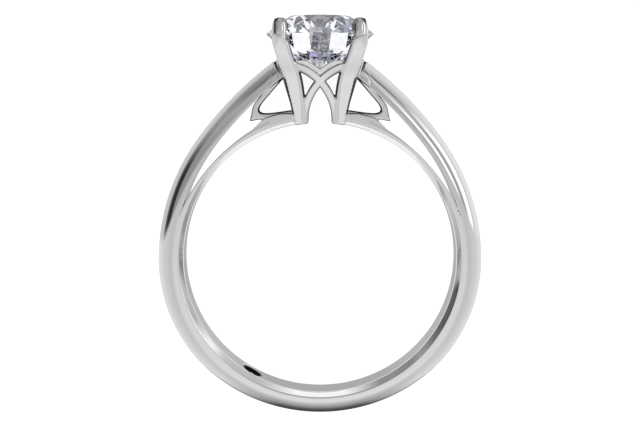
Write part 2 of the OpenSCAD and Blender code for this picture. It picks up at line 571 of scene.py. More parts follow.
def ease(value: np.ndarray, start: float, stop: float) -> np.ndarray:
    """Smooth step from 0 at start to 1 at stop, t^2 (3 - 2 t)."""
    share = np.clip((value - start) / (stop - start), 0, 1)
    return share**2 * (3 - 2 * share)


def round_cut(first: np.ndarray, second: np.ndarray, radius: np.ndarray | float) -> np.ndarray:
    """Distance field of what two solids share, with a rounded edge.

    It is min(-r, max(a, b)) + |(max(r + a, 0), max(r + b, 0))|.

    Args:
        first: Field of a solid, negative inside.
        second: Field of the other solid.
        radius: Radius r of the edge.

    Returns:
        The field.
    """
    return np.minimum(-radius, np.maximum(first, second)) + np.hypot(
        np.maximum(radius + first, 0), np.maximum(radius + second, 0))


def round_join(first: np.ndarray, second: np.ndarray, radius: np.ndarray | float) -> np.ndarray:
    """Distance field of two solids joined with a fillet: the negative of round_cut of the negatives."""
    return -round_cut(-first, -second, radius)


def smooth_rows(rows: np.ndarray, place: np.ndarray) -> np.ndarray:
    """Cubic curve through the rows of a table, with the slope of each row taken from its neighbours.

    Between two rows it is the Hermite cubic of their values and slopes.

    Args:
        rows: Column 0 is the place, column 1 the value.
        place: Where the curve is wanted.

    Returns:
        The values, with the ends carried on as constants.
    """
    x, y = rows[:, 0], rows[:, 1]
    slope = np.gradient(y, x)
    at = np.clip(place, x[0], x[-1])
    low = np.clip(np.searchsorted(x, at, side="right") - 1, 0, len(x) - 2)
    span = x[low + 1] - x[low]
    t = (at - x[low]) / span
    return ((1 + 2 * t) * (1 - t)**2 * y[low] + t * (1 - t)**2 * span * slope[low]
            + t**2 * (3 - 2 * t) * y[low + 1] + t**2 * (t - 1) * span * slope[low + 1])


def cut_corners(points: np.ndarray, rounds: int) -> np.ndarray:
    """Closed outline with its corners cut: each side keeps the points at a quarter and three quarters of it.

    Args:
        points: Corners of the outline.
        rounds: How often the corners are cut.

    Returns:
        The smoother outline.
    """
    for _ in range(rounds):
        after = np.roll(points, -1, axis=0)
        points = np.stack([0.75 * points + 0.25 * after, 0.25 * points + 0.75 * after], axis=1).reshape(-1, 2)
    return points


def outline_distance(points: np.ndarray, x: np.ndarray, y: np.ndarray) -> np.ndarray:
    """Signed distance to a closed outline: that to its nearest side, negative where a ray crosses it oddly.

    Args:
        points: Corners of the outline.
        x: First coordinates.
        y: Second coordinates.

    Returns:
        The distances.
    """
    x, y = np.broadcast_arrays(x, y)
    spot = np.stack([x, y], axis=-1)[..., None, :]
    after = np.roll(points, -1, axis=0)
    side = after - points
    length = np.maximum(np.sum(side**2, axis=-1), TINY)
    share = np.clip(np.sum((spot - points) * side, axis=-1) / length, 0, 1)
    gap = np.linalg.norm(spot - points - share[..., None] * side, axis=-1).min(axis=-1)
    spans = (points[:, 1] > spot[..., 1]) != (after[:, 1] > spot[..., 1])
    rise = np.where(side[:, 1] == 0, 1, side[:, 1])
    meets = spans & (spot[..., 0] < side[:, 0] * (spot[..., 1] - points[:, 1]) / rise + points[:, 0])
    return np.where(meets.sum(axis=-1) % 2 == 1, -gap, gap)


@dataclass
class SurfaceNet:
    """Turns a distance field into a mesh of quads.

    One vertex lies in each cell of the grid that the surface passes through, at the mean of the crossings of
    the cell's edges, and one quad round each edge of the grid that it crosses. The vertices then move along
    the field's gradient g by -d g / |g|^2 until they lie on the surface.

    Attributes:
        low: Lowest corner of the grid.
        high: Highest corner of the grid.
        step: Size of a cell.
        settle: Number of moves onto the surface.
        probe: Distance over which the gradient is measured.
        least_slope: Least squared gradient that a move counts with.
    """

    low: tuple[float, float, float]
    high: tuple[float, float, float]
    step: float
    settle: int = 3
    probe: float = 0.004
    least_slope: float = 0.2

    def gradient(self, solid: Callable, points: np.ndarray) -> np.ndarray:
        """Gradient of a field by central differences.

        Args:
            solid: Function of x, y and z that gives the distance.
            points: Where the gradient is wanted.

        Returns:
            The gradients.
        """
        shift = self.probe * np.eye(3)
        change = [solid(*(points + way).T) - solid(*(points - way).T) for way in shift]
        return np.stack(change, axis=-1) / (2 * self.probe)

    def mesh(self, solid: Callable) -> tuple[np.ndarray, np.ndarray, np.ndarray]:
        """Find the surface of a solid.

        Args:
            solid: Function of x, y and z that gives the distance, negative inside.

        Returns:
            The points, the quads and the unit normals.
        """
        axes = [np.arange(a, b, self.step) for a, b in zip(self.low, self.high)]
        values = solid(axes[0][:, None, None], axes[1][None, :, None], axes[2][None, None, :])
        inside = values < 0
        cells = tuple(size - 1 for size in inside.shape)
        corners = np.stack(np.meshgrid([0, 1], [0, 1], [0, 1], indexing="ij"), axis=-1).reshape(-1, 3)
        full = sum(
            inside[a:a + cells[0], b:b + cells[1], c:c + cells[2]].astype(np.int8) for a, b, c in corners)
        active = np.argwhere((full > 0) & (full < 8))
        points = self.crossings(values, active, corners)
        number = np.full(cells, -1, np.int64)
        number[tuple(active.T)] = np.arange(len(active))
        faces = np.concatenate([self.quads(inside, number, axis) for axis in range(3)])
        points = np.array(self.low) + self.step * points
        for _ in range(self.settle):
            slope = self.gradient(solid, points)
            size = np.maximum(np.sum(slope**2, axis=-1), self.least_slope)
            move = np.clip(solid(*points.T) / size, -self.step / 2, self.step / 2)
            points = points - move[:, None] * slope
        slope = self.gradient(solid, points)
        return points, faces, slope / np.maximum(np.linalg.norm(slope, axis=-1), TINY)[:, None]

    @staticmethod
    def crossings(values: np.ndarray, active: np.ndarray, corners: np.ndarray) -> np.ndarray:
        """Mean of the crossings of the edges of each active cell.

        Args:
            values: The field on the grid.
            active: Numbers of the cells that the surface passes through.
            corners: Shifts from a cell's lowest corner to its eight corners.

        Returns:
            The points, in cells from the grid's lowest corner.
        """
        total = np.zeros((len(active), 3))
        hits = np.zeros(len(active))
        for axis in range(3):
            for corner in corners[corners[:, axis] == 0]:
                start = active + corner
                end = start + np.eye(3, dtype=int)[axis]
                a, b = values[tuple(start.T)], values[tuple(end.T)]
                crossed = (a < 0) != (b < 0)
                share = np.where(crossed, a / np.where(crossed, a - b, 1), 0)
                spot = start + share[:, None] * np.eye(3)[axis]
                total += np.where(crossed[:, None], spot, 0)
                hits += crossed
        return total / hits[:, None]

    @staticmethod
    def quads(inside: np.ndarray, number: np.ndarray, axis: int) -> np.ndarray:
        """Quads round the crossed grid edges that run along one axis, facing out of the solid.

        Args:
            inside: Whether each point of the grid is inside.
            number: Number of the vertex in each cell.
            axis: The axis.

        Returns:
            Vertex numbers of each quad.
        """
        one, two = (axis + 1) % 3, (axis + 2) % 3
        size = np.array(inside.shape)
        size[axis] -= 1
        low = np.take(inside, range(size[axis]), axis=axis)
        high = np.take(inside, range(1, size[axis] + 1), axis=axis)
        spots = np.argwhere(low != high)
        keep = (spots[:, one] > 0) & (spots[:, two] > 0)
        keep &= (spots[:, one] < size[one] - 1) & (spots[:, two] < size[two] - 1)
        spots = spots[keep]
        back_one, back_two = np.eye(3, dtype=int)[one], np.eye(3, dtype=int)[two]
        ring = [spots - back_one - back_two, spots - back_two, spots, spots - back_one]
        quad = np.stack([number[tuple(cell.T)] for cell in ring], axis=-1)
        outward = low[tuple(spots.T)]
        return np.where(outward[:, None], quad, quad[:, ::-1])


@dataclass(frozen=True)
class ShadeZones:
    """Where the setting's metal is painted dark: painted shade and dark reflections in its pierced work,
    corners and joints. A pair is where the painted shade begins and where it is full.

    Attributes:
        inward: Share on pierced walls that face the middle of their side.
        joint: Share along the soldered joints of the shoulders.
        aside: Sideways part of a wall's normal.
        wall: Depth behind the polished face.
        face: Outward part of the normal, above which a face keeps its own colour.
        fillet: Distance of a shoulder from the prong.
        groove: Distance from the middle of the shoulder's groove, in half widths of it.
        joint_from: Height above the hole's edge from which the joints are looked for.
        corner: Parts of a normal that belong to a prong's rounded corner.
        foot: Height of the lower end of the dull corners.
        top: Height of their upper end.
        rim: Depth behind the faces of a side frame.
    """

    inward: float = 0.55
    joint: float = 0.95
    aside: tuple[float, float] = (0.0, 0.5)
    wall: tuple[float, float] = (0.0, 0.08)
    face: tuple[float, float] = (0.9, 0.7)
    fillet: tuple[float, float] = (0.1, 0.04)
    groove: tuple[float, float] = (1.6, 0.5)
    joint_from: float = 1.0
    corner: tuple[float, float] = (0.12, 0.35)
    foot: tuple[float, float] = (0.4, 0.6)
    top: tuple[float, float] = (2.8, 2.6)
    rim: tuple[float, float] = (0.0, 0.05)


@dataclass
class Setting:
    """Basket with four prongs, crossing arches on its four sides, and the two small side frames.

    It is a distance field. The ends of the shoulders and rails are in it too, so that fillets join them.

    Attributes:
        ring: The ring's frame.
        outline: The hoop's outline, for the ends of the shoulders and rails.
        stone_r: Radius of the stone.
        stone_angles: Slopes of its crown and of its pavilion, in degrees.
        girdle_half: Half the height of its girdle.
        girdle_rise: Height of the middle of the girdle above the hole's edge.
        clearance: Gap between the stone and its seat.
        outer_rows: Outer edge of a prong: height above the hole's edge, and distance out.
        inner_rows: Inner edge of a prong, the same way.
        lean: How much a distance measured level overstates that to the leaning faces.
        shelf_rise: Height of a prong's outer corner, where the claw steps back.
        shelf_slope: How much lower it ends for each millimetre towards the stone's axis.
        claw_rise: Height of the middle of a claw.
        claw_size: Half its width and half its height.
        wall_t: Thickness of a side of the basket.
        arch_w: Width of an arch.
        arch_r: Radius of the middle line of an arch.
        arch_place: Centre of an arch: out from the stone's axis, and height above the hole's edge.
        arch_top: Height where the arches end.
        arch_back: How far the arches lie behind the faces of the prongs.
        ledge_rise: How much further out the arch of the ledge runs that carries the stone above the arches.
        ledge_back: How far the ledge lies behind the faces of the arches.
        groove: Groove round the end of a shoulder: distance from the prongs, half its width and its depth.
        stub: Where the setting's piece of a shoulder begins and ends, out from the stone's axis.
        frame_half: Half the width of a side frame along the finger.
        frame_outline: Outer outline of a side frame: distance out, and height above the hole's edge.
        frame_opening: Its opening, the same way.
        rail_flare: Outline of the wide end of a rail, the same way.
        edge_r: Radius of the edges.
        prong_r: Radius of the prongs' edges, outside and on the side of the stone.
        prong_turn: Share of a prong's width, inwards, between which the one gives way to the other.
        arch_edge: Radius of the arches' edges.
        frame_edge: Radius of the side frames' edges.
        fillet_r: Radius of the fillets.
        hole_edge: Radius of the edges of the finger hole.
        hole_bevel: Bevel of the finger hole: how far out and how far along the finger.
        tuck: How far the setting's pieces of the hoop lie under its surface at their outer ends.
        shade_zones: Where the metal is painted dark, as painted shade and dark reflections.
        grid_low: Lowest corner of the field's grid.
        grid_high: Highest corner of it.
        step: Size of its cells.
    """

    ring: RingFrame
    outline: Outline
    stone_r: float = 3.2
    stone_angles: tuple[float, float] = (35.0, 40.8)
    girdle_half: float = 0.05
    girdle_rise: float = 5.26
    clearance: float = 0.04
    outer_rows: tuple = (
        (-0.3, 1.44), (1.45, 1.82), (2.95, 2.20), (3.6, 2.43), (4.5, 2.69), (5.1, 2.76), (5.68, 2.76))
    inner_rows: tuple = (
        (-0.3, 0.90), (1.45, 0.92), (2.95, 1.18), (3.6, 1.42), (4.5, 1.71), (5.1, 1.81), (5.68, 1.84))
    lean: float = 1.04
    shelf_rise: float = 5.26
    shelf_slope: float = 0.45
    claw_rise: float = 5.2
    claw_size: tuple[float, float] = (0.48, 0.93)
    wall_t: float = 0.62
    arch_w: float = 0.48
    arch_r: float = 3.35
    arch_place: tuple[float, float] = (2.41, 0.15)
    arch_top: float = 3.7
    arch_back: float = 0.13
    ledge_rise: float = 0.3
    ledge_back: float = 0.12
    groove: tuple[float, float, float] = (0.25, 0.07, 0.06)
    stub: tuple[float, float] = (2.0, 3.1)
    frame_half: float = 0.65
    frame_outline: tuple = (
        (1.20, 0.20), (1.55, 2.80), (2.30, 3.30), (2.84, 2.48), (3.55, 1.59),
        (4.00, 1.06), (4.09, 0.64), (4.21, 0.07), (4.21, 0.07), (3.40, 0.25), (3.10, -0.30))
    frame_opening: tuple = (
        (1.66, 0.72), (1.66, 0.72), (1.98, 1.80), (2.22, 2.60), (2.22, 2.60), (2.88, 1.86),
        (3.53, 1.12), (3.70, 0.80), (3.64, 0.58), (3.20, 0.50))
    rail_flare: tuple = (
        (1.20, 0.55), (2.30, 0.55), (2.90, 0.41), (3.37, 0.27), (4.17, -0.49), (3.60, -1.10), (1.20, -0.30))
    edge_r: float = 0.07
    prong_r: tuple[float, float] = (0.13, 0.27)
    prong_turn: tuple[float, float] = (0.2, 0.8)
    arch_edge: float = 0.15
    frame_edge: float = 0.1
    fillet_r: float = 0.1
    hole_edge: float = 0.035
    hole_bevel: tuple[float, float] = (0.3, 0.35)
    tuck: float = 0.02
    shade_zones: ShadeZones = field(default_factory=ShadeZones)
    grid_low: tuple[float, float, float] = (-4.5, 7.0, -3.0)
    grid_high: tuple[float, float, float] = (4.5, 14.65, 3.0)
    step: float = 0.055

    def raised(self, rows: tuple) -> np.ndarray:
        """Rows of distance out and height above the hole's edge, as points of the ring's frame."""
        return np.array(rows) + [0, self.ring.hole_r]

    def outer(self, y: np.ndarray) -> np.ndarray:
        """Distance of the basket's outer faces from the stone's axis at a height."""
        return smooth_rows(np.array(self.outer_rows), y - self.ring.hole_r)

    def inner(self, y: np.ndarray) -> np.ndarray:
        """Distance of the prongs' inner edges from the stone's axis at a height."""
        return smooth_rows(np.array(self.inner_rows), y - self.ring.hole_r)

    def prong(self, right: np.ndarray, y: np.ndarray, front: np.ndarray) -> np.ndarray:
        """Field of a prong: a square bar that leans out both ways, with a round claw at its end.

        The edges are rounder on the side of the stone. The claw is round from above, and from the front it is
        the curve |x / w|^3 + |y / h|^3 = 1.

        Args:
            right: Distance from the stone's axis to the side.
            y: Height.
            front: Distance from the stone's axis along the finger.

        Returns:
            The field.
        """
        outer, inner = self.outer(y), self.inner(y)
        bars = [np.maximum(out - outer, inner - out) / self.lean for out in (right, front)]
        inward = np.maximum(outer - right, outer - front) / (outer - inner)
        radius = self.prong_r[0] + (self.prong_r[1] - self.prong_r[0]) * ease(inward, *self.prong_turn)
        bar = round_cut(bars[0], bars[1], radius)
        rise = y - self.ring.hole_r
        shelf = rise - self.shelf_rise + self.shelf_slope * (2 * outer - right - front)
        bar = round_cut(bar, shelf / np.hypot(1, self.shelf_slope), self.edge_r)
        width, height = self.claw_size
        centre = (self.outer_rows[-1][1] + self.inner_rows[-1][1]) / 2
        out = np.hypot(right - centre, front - centre) / width
        up = np.abs(rise - self.claw_rise) / height
        claw = (np.cbrt(out**3 + up**3) - 1) * width
        return round_join(bar, claw, self.edge_r)

    def side(self, over: np.ndarray, y: np.ndarray, out: np.ndarray) -> np.ndarray:
        """Field of a side of the basket: two crossing arches, and a ledge above them that is set back.

        A band is |distance from the centre - radius| - half width. The ledge follows the upper halves.

        Args:
            over: Distance sideways from the stone's axis.
            y: Height.
            out: Distance outwards from the stone's axis.

        Returns:
            The field, ended inside the prongs.
        """
        centre_y = self.ring.hole_r + self.arch_place[1]
        aside = np.abs(over)
        near = np.hypot(aside - self.arch_place[0], y - centre_y) - self.arch_r
        far = np.hypot(aside + self.arch_place[0], y - centre_y) - self.arch_r
        ends = np.maximum(aside - self.inner(y) - 2 * self.fillet_r, y - self.ring.hole_r - self.arch_top)
        bands = np.maximum(np.minimum(np.abs(near), np.abs(far)) - self.arch_w / 2, ends)
        ledge = np.maximum(np.abs(near - self.ledge_rise) - self.arch_w / 2, ends)
        arches = round_cut(bands, self.wall(out, y, self.arch_back), self.arch_edge)
        ledge = round_cut(ledge, self.wall(out, y, self.arch_back + self.ledge_back), self.edge_r)
        return np.minimum(arches, ledge)

    def wall(self, out: np.ndarray, y: np.ndarray, back: float) -> np.ndarray:
        """Field of the leaning wall that a side is cut from, by how far it lies behind the prongs' faces."""
        outer = self.outer(y)
        return np.maximum(out - outer + back, outer - self.wall_t - out) / self.lean

    def shoulder_end(self, out: np.ndarray, y: np.ndarray, z: np.ndarray) -> np.ndarray:
        """Field of the end of a shoulder: a half-round bar turned about the centre of its arc.

        The groove lowers it by depth * exp(-(d / half width)^2), with d the distance from its middle.

        Args:
            out: Distance from the stone's axis to the side.
            y: Height.
            z: Places along the finger.

        Returns:
            The field.
        """
        shape = self.outline
        place, half, depth = self.groove
        groove = depth * np.exp(-((out - self.outer(y) - place) / half)**2)
        above = np.hypot(out - shape.high_c[0], y - shape.high_c[1]) - shape.shoulder_high_r + shape.half_w
        bar = round_cut(np.hypot(above, z) - shape.half_w, -above, self.edge_r) + self.inset(out)
        return np.maximum(np.maximum(bar + groove, self.stub[0] - out), out - self.stub[1])

    def rail_end(self, out: np.ndarray, y: np.ndarray, z: np.ndarray) -> np.ndarray:
        """Field of the flared end of a rail, with the bevels of the finger hole.

        Args:
            out: Distance from the stone's axis to the side.
            y: Height.
            z: Places along the finger.

        Returns:
            The field.
        """
        flare = outline_distance(cut_corners(self.raised(self.rail_flare), rounds=1), out, y)
        plate = round_cut(flare, np.abs(z) - self.outline.half_w, self.hole_edge)
        hole = self.ring.hole_r - np.hypot(out, y)
        bevel = np.abs(z) - self.outline.half_w + self.hole_bevel[1]
        cut = (bevel * self.hole_bevel[0] + hole * self.hole_bevel[1]) / np.hypot(*self.hole_bevel)
        return round_cut(np.maximum(plate, hole), cut, self.hole_edge) + self.inset(out)

    def inset(self, out: np.ndarray) -> np.ndarray:
        """How far the setting's pieces of the hoop lie under its surface."""
        return self.tuck * (1 - ease(out, *self.outline.blend))

    def frame(self, out: np.ndarray, y: np.ndarray, z: np.ndarray) -> np.ndarray:
        """Field of a side frame: a plate with a rounded opening.

        Args:
            out: Distance from the stone's axis to the side.
            y: Height.
            z: Places along the finger.

        Returns:
            The field.
        """
        plate = outline_distance(cut_corners(self.raised(self.frame_outline), rounds=2), out, y)
        opening = outline_distance(cut_corners(self.raised(self.frame_opening), rounds=2), out, y)
        return round_cut(np.maximum(plate, -opening), np.abs(z) - self.frame_half, self.frame_edge)

    def seat(self, y: np.ndarray, z: np.ndarray, x: np.ndarray) -> np.ndarray:
        """Field of the stone as cones about its axis, grown by the clearance of its seat.

        Args:
            y: Height.
            z: Places along the finger.
            x: Places to the right.

        Returns:
            The field.
        """
        crown, pavilion = np.radians(self.stone_angles)
        out = np.hypot(x, z) - self.stone_r
        rise = y - self.ring.hole_r - self.girdle_rise
        above = (rise - self.girdle_half) * np.cos(crown) + out * np.sin(crown)
        below = (-rise - self.girdle_half) * np.cos(pavilion) + out * np.sin(pavilion)
        return np.maximum(np.maximum(above, below), out) - self.clearance

    def metal(self, x: np.ndarray, y: np.ndarray, z: np.ndarray) -> np.ndarray:
        """Field of all the metal of the setting.

        Args:
            x: Places to the right.
            y: Places towards the stone.
            z: Places along the finger.

        Returns:
            The distance to the surface, negative inside.
        """
        right, front = np.abs(x), np.abs(z)
        prongs = self.prong(right, y, front)
        sides = np.minimum(self.side(x, y, front), self.side(z, y, right))
        basket = round_join(prongs, sides, self.fillet_r)
        ends = round_join(self.rail_end(right, y, z), self.shoulder_end(right, y, z), self.edge_r)
        carried = round_join(self.frame(right, y, z), ends, self.edge_r)
        whole = round_join(basket, carried, self.fillet_r)
        holed = round_cut(whole, self.ring.hole_r - np.hypot(x, y), self.edge_r)
        return np.maximum(holed, -self.seat(y, z, x))

    def build(self) -> bpy.types.Object:
        """Mesh the field and give the mesh the field's own normals.

        Returns:
            The setting.
        """
        step = self.step
        points, faces, normals = SurfaceNet(self.grid_low, self.grid_high, step).mesh(self.metal)
        piece = mesh_object("setting", self.ring.place(points), faces)
        turned = self.ring.place(normals) / MM
        piece.data.normals_split_custom_set_from_vertices(turned.tolist())
        # Painted shade: this attribute marks where the metal is painted dark for shade and dark reflections.
        shade = piece.data.attributes.new("painted_shade_share", "FLOAT", "POINT")
        shade.data.foreach_set("value", self.painted_shade_share(points, normals))
        return piece

    def painted_shade_share(self, points: np.ndarray, normals: np.ndarray) -> np.ndarray:
        """Share of painted shade: metal painted dark where shade and dark reflections fall.

        Those are the walls of the pierced work, the prongs' outer corners beside it, the rims of the side
        frames, and the joints and grooves of the shoulders.

        Args:
            points: Points of the surface.
            normals: Their unit normals.

        Returns:
            The share for each point, from 0 to 1.
        """
        shade_zones = self.shade_zones
        right, front = np.abs(points[:, 0]), np.abs(points[:, 2])
        sideways, along = normals[:, 0] * np.sign(points[:, 0]), normals[:, 2] * np.sign(points[:, 2])
        rise = points[:, 1] - self.ring.hole_r
        outer, inner = self.outer(points[:, 1]), self.inner(points[:, 1])
        depth = outer - np.maximum(right, front)
        facing = shade_zones.inward + (1 - shade_zones.inward) * ease(np.where(front > right, sideways, along), *shade_zones.aside)
        start = np.where(np.minimum(right, front) > inner - self.edge_r, self.edge_r, self.arch_back)
        outward = np.where(front > right, along, sideways)
        walls = ease(depth - start, *shade_zones.wall) * facing * ease(outward, *shade_zones.face)

        place, half, _ = self.groove
        gap = right - outer
        joint = np.maximum(ease(gap, *shade_zones.fillet), ease(np.abs(gap - place) / half, *shade_zones.groove))
        joint *= (front < self.outline.half_w) * (rise > shade_zones.joint_from) * (depth < 0)

        corner = ease(np.abs(normals[:, 0]), *shade_zones.corner) * ease(np.abs(normals[:, 2]), *shade_zones.corner)
        corner *= ease(rise, *shade_zones.foot) * ease(rise, *shade_zones.top)
        corner *= np.minimum(right, front) > outer - 2 * self.prong_r[0]

        plate = outline_distance(cut_corners(self.raised(self.frame_outline), rounds=2), right, points[:, 1])
        rim = ease(self.frame_half - front, *shade_zones.rim) * (plate < self.edge_r) * (depth < 0)
        return np.max([walls, corner, rim, shade_zones.joint * joint], axis=0)


class NodeTree:
    """Short words for adding nodes to a tree."""

    def __init__(self, tree: bpy.types.NodeTree) -> None:
        """Keep the tree."""
        self.tree = tree

    def add(self, kind: str, inputs: dict | None = None, **settings: object) -> bpy.types.Node:
        """Add a node.

        Args:
            kind: Its type without the ShaderNode in front.
            inputs: Values or sockets for its inputs, by name or number.
            settings: Values for its properties.

        Returns:
            The node.
        """
        node = self.tree.nodes.new("ShaderNode" + kind)
        for name, value in settings.items():
            setattr(node, name, value)
        for name, value in (inputs or {}).items():
            if isinstance(value, bpy.types.NodeSocket):
                self.tree.links.new(value, node.inputs[name])
            else:
                node.inputs[name].default_value = value
        return node

    def math(self, operation: str, *values: bpy.types.NodeSocket | float) -> bpy.types.NodeSocket:
        """Add a Math node and give its output."""
        return self.add("Math", dict(enumerate(values)), operation=operation).outputs[0]

    def ramp(self, value: bpy.types.NodeSocket, stops: list[tuple[float, float]]) -> bpy.types.NodeSocket:
        """Add a Color Ramp of greys.

        Args:
            value: What runs through the ramp.
            stops: Place and brightness of each stop.

        Returns:
            The colour.
        """
        node = self.add("ValToRGB", {0: value})
        elements = node.color_ramp.elements
        elements[0].position, elements[1].position = stops[0][0], stops[-1][0]
        for place, _ in stops[1:-1]:
            elements.new(place)
        for element, (_, grey) in zip(elements, stops):
            element.color = (grey, grey, grey, 1)
        return node.outputs[0]


def polish_group() -> bpy.types.ShaderNodeTree:
    """Node group of the faint marks that polishing and handling leave.

    Its Height is fine scratches, a stretched noise, and its Haze a soft cloudy mask from 0 to 1.

    Returns:
        The group, made once.
    """
    tree = bpy.data.node_groups.new("polish_marks", "ShaderNodeTree")
    for name in ("Mark Scale", "Haze Scale"):
        tree.interface.new_socket(name, in_out="INPUT", socket_type="NodeSocketFloat")
    for name in ("Height", "Haze"):
        tree.interface.new_socket(name, in_out="OUTPUT", socket_type="NodeSocketFloat")
    nodes = NodeTree(tree)
    entry = tree.nodes.new("NodeGroupInput")
    leave = tree.nodes.new("NodeGroupOutput")
    place = nodes.add("TexCoord").outputs["Object"]
    stretched = nodes.add("Mapping", {
        "Vector": place, "Rotation": (0.3, 0.5, 0.8), "Scale": (1.0, 0.08, 0.3)})
    marks = nodes.add("TexNoise", {"Vector": stretched.outputs[0], "Scale": entry.outputs[0], "Detail": 3.0})
    clouds = nodes.add("TexNoise", {"Vector": place, "Scale": entry.outputs[1], "Detail": 2.0})
    haze = nodes.add("MapRange", {"Value": clouds.outputs[0], "From Min": 0.35, "From Max": 0.75})
    tree.links.new(marks.outputs[0], leave.inputs[0])
    tree.links.new(haze.outputs[0], leave.inputs[1])
    return tree


@dataclass(frozen=True)
class Platinum:
    """Mirror polished platinum, darker and duller in the recess, and painted dark as painted shade and dark
    reflections in the pierced work.

    Attributes:
        tint: Colour of its reflections.
        edge_tint: Colour of its reflections at a grazing angle.
        roughness: Roughness where it is clean, and where it is hazed.
        mark_scale: Fineness of the polishing marks, per metre.
        haze_scale: Fineness of the haze, per metre.
        mark_depth: Depth of the marks, in metres.
        dark_tint: Colour of the dark places, at every angle: painted shade and dark reflections in the
            setting, and the floor of the recess.
        dark_roughness: Their roughness.
        recess_rim: Squared distance from the middle of the recess where its dull floor begins and is full.
        recess_reach: How far from the hole's wall a point still belongs to the recess, in millimetres.
    """

    tint: tuple = (0.86, 0.86, 0.865, 1)
    edge_tint: tuple = (1, 1, 1, 1)
    roughness: tuple[float, float] = (0.045, 0.09)
    mark_scale: float = 9000.0
    haze_scale: float = 420.0
    mark_depth: float = 6e-8
    dark_tint: tuple = (0.03, 0.03, 0.032, 1)
    dark_roughness: float = 0.5
    recess_rim: tuple[float, float] = (1.05, 0.75)
    recess_reach: float = 0.2

    def material(
        self, marks: bpy.types.ShaderNodeTree, name: str, dark_mask: Callable,
    ) -> bpy.types.Material:
        """Build the material.

        Args:
            marks: The group of polishing marks.
            name: Name of the material.
            dark_mask: Makes the mask of the dark places in the material's nodes: painted shade in the
                setting, the recess in the hoop.

        Returns:
            The material.
        """
        material = bpy.data.materials.new(name)
        material.use_nodes = True
        nodes = NodeTree(material.node_tree)
        shader = material.node_tree.nodes["Principled BSDF"]
        shader.inputs["Metallic"].default_value = 1.0
        group = nodes.add("Group", node_tree=marks)
        group.inputs["Mark Scale"].default_value = self.mark_scale
        group.inputs["Haze Scale"].default_value = self.haze_scale
        bump = nodes.add("Bump", {"Height": group.outputs["Height"], "Distance": self.mark_depth})
        nodes.tree.links.new(bump.outputs[0], shader.inputs["Normal"])
        mask = dark_mask(nodes)
        # Painted shade: where the mask is full, the metal takes the dark tint at every angle in place of its
        # own colour.
        colour = nodes.add("Mix", {0: mask, 6: self.tint, 7: self.dark_tint}, data_type="RGBA")
        nodes.tree.links.new(colour.outputs[2], shader.inputs["Base Color"])
        edge = nodes.add("Mix", {0: mask, 6: self.edge_tint, 7: self.dark_tint}, data_type="RGBA")
        nodes.tree.links.new(edge.outputs[2], shader.inputs["Specular Tint"])
        clean, hazed = self.roughness
        haze = nodes.add("MapRange", {"Value": group.outputs["Haze"], "To Min": clean, "To Max": hazed})
        rough = nodes.add("Mix", {0: mask, 2: haze.outputs[0], 3: self.dark_roughness})
        nodes.tree.links.new(rough.outputs[0], shader.inputs["Roughness"])
        return material

    def recess_mask(self, nodes: NodeTree) -> bpy.types.NodeSocket:
        """Mask of the recess, from the squared distance on the wall of the hole.

        Args:
            nodes: The material's nodes.

        Returns:
            The mask, 1 inside the recess.
        """
        about = nodes.add("Attribute", attribute_name="about_recess").outputs["Vector"]
        parts = nodes.add("SeparateXYZ", {0: about}).outputs
        apart = nodes.math("ADD", nodes.math("POWER", parts[0], 2.0), nodes.math("POWER", parts[1], 2.0))
        begin, full = self.recess_rim
        inside = nodes.add("MapRange", {"Value": apart, "From Min": begin, "From Max": full}).outputs[0]
        return nodes.math("MULTIPLY", inside, nodes.math("LESS_THAN", parts[2], self.recess_reach))

    @staticmethod
    def painted_shade_mask(nodes: NodeTree) -> bpy.types.NodeSocket:
        """Mask of the setting's painted shade, from its own attribute."""
        return nodes.add("Attribute", attribute_name="painted_shade_share").outputs["Fac"]


@dataclass(frozen=True)
class Diamond:
    """Clear stone with faint tints.

    Attributes:
        ior: Index of refraction.
        tints: Colours that its body drifts between.
        tint_scale: Fineness of the drift, per metre.
    """

    ior: float = 2.418
    tints: tuple = ((1.0, 1.0, 1.0, 1), (0.9, 0.91, 1.0, 1))
    tint_scale: float = 900.0

    def material(self) -> bpy.types.Material:
        """Build the material.

        Returns:
            The material.
        """
        material = bpy.data.materials.new(Finish.DIAMOND.value)
        material.use_nodes = True
        nodes = NodeTree(material.node_tree)
        shader = material.node_tree.nodes["Principled BSDF"]
        shader.inputs["Transmission Weight"].default_value = 1.0
        shader.inputs["IOR"].default_value = self.ior
        shader.inputs["Roughness"].default_value = 0.0
        place = nodes.add("TexCoord").outputs["Object"]
        drift = nodes.add("TexNoise", {"Vector": place, "Scale": self.tint_scale, "Detail": 1.0})
        colour = nodes.add("Mix", {0: drift.outputs[0], 6: self.tints[0], 7: self.tints[1]}, data_type="RGBA")
        nodes.tree.links.new(colour.outputs[2], shader.inputs["Base Color"])
        return material


